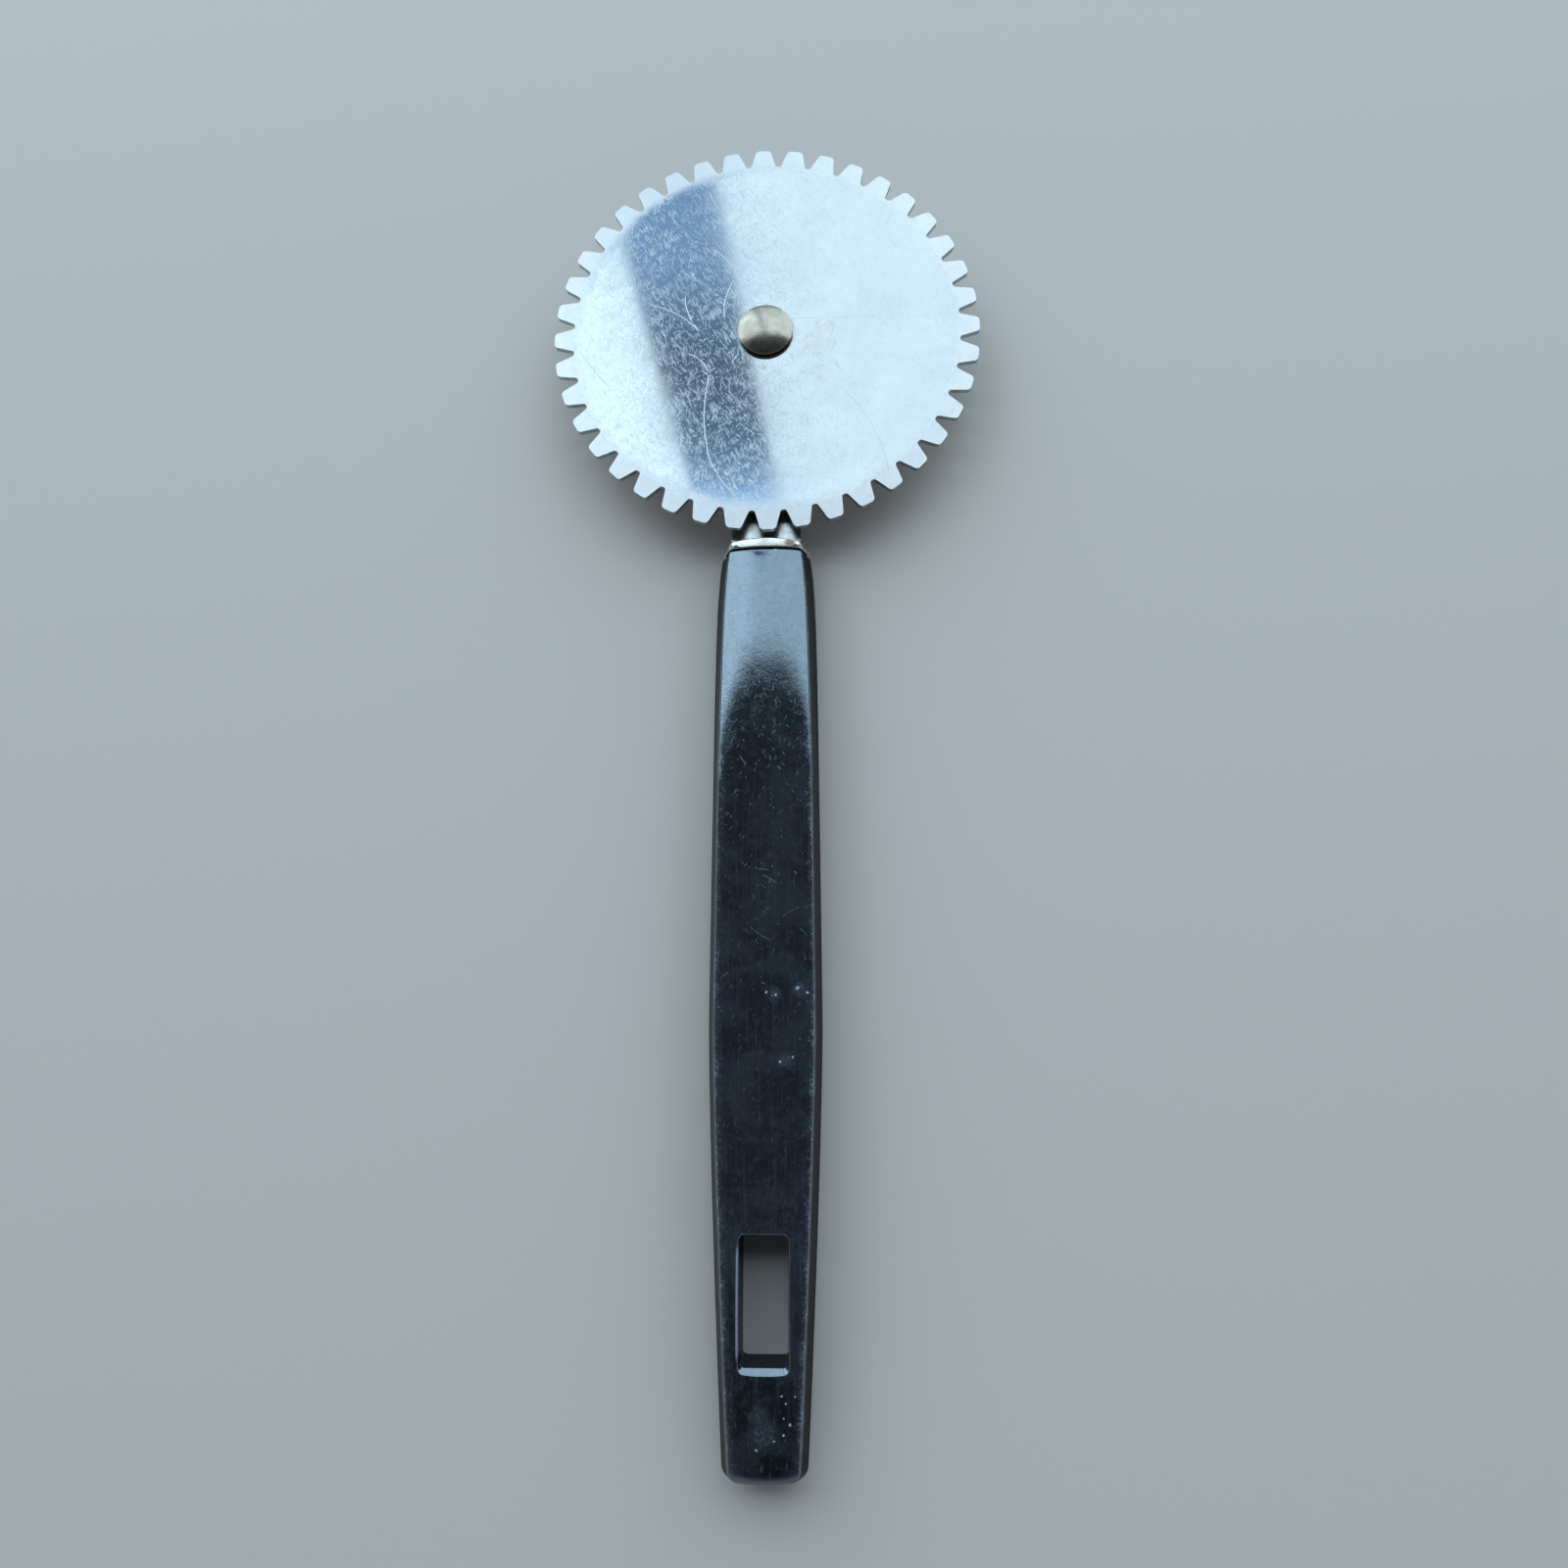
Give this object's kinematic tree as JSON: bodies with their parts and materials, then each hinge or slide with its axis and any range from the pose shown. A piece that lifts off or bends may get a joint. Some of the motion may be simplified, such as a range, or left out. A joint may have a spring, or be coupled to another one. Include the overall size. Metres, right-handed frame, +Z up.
{
  "type": "pastry wheel",
  "caption": "Hand-held pastry wheel: a flat toothed steel disc spins freely on a rivet at the end of a flat shank set in a slim moulded handle with a hanging slot.",
  "frame": {"origin": "centre of the bounding box's base, on the flat surface that the handle's underside lies on", "axes": "+Y from the handle's end to the wheel, +Z up along the wheel's axis, +X to the right"},
  "size_m": [0.06, 0.1764, 0.0082],
  "materials": {
    "steel": "satin polished stainless steel, finely scratched",
    "nickel": "aged nickel plate, slightly pitted",
    "handle": "black moulded thermoset plastic, satin, worn pale along its edges"
  },
  "bodies": {
    "handle_body": {"handle": "handle", "bolster": "nickel", "shank": "steel", "axle_rivet": "nickel", "rivet_burr": "nickel"},
    "wheel_body": {"cutting_wheel": "steel"},
    "washer_body": {"spacer_washer": "nickel"}
  },
  "joints": [
    {"name": "wheel_spin", "type": "hinge", "parent": "handle_body", "child": "wheel_body", "pos_m": [0, 0.0582, 0.00615], "axis": [0, 0, 1], "continuous": true},
    {"name": "washer_spin", "type": "hinge", "parent": "handle_body", "child": "washer_body", "pos_m": [0, 0.0582, 0.00505], "axis": [0, 0, 1], "continuous": true}
  ]
}
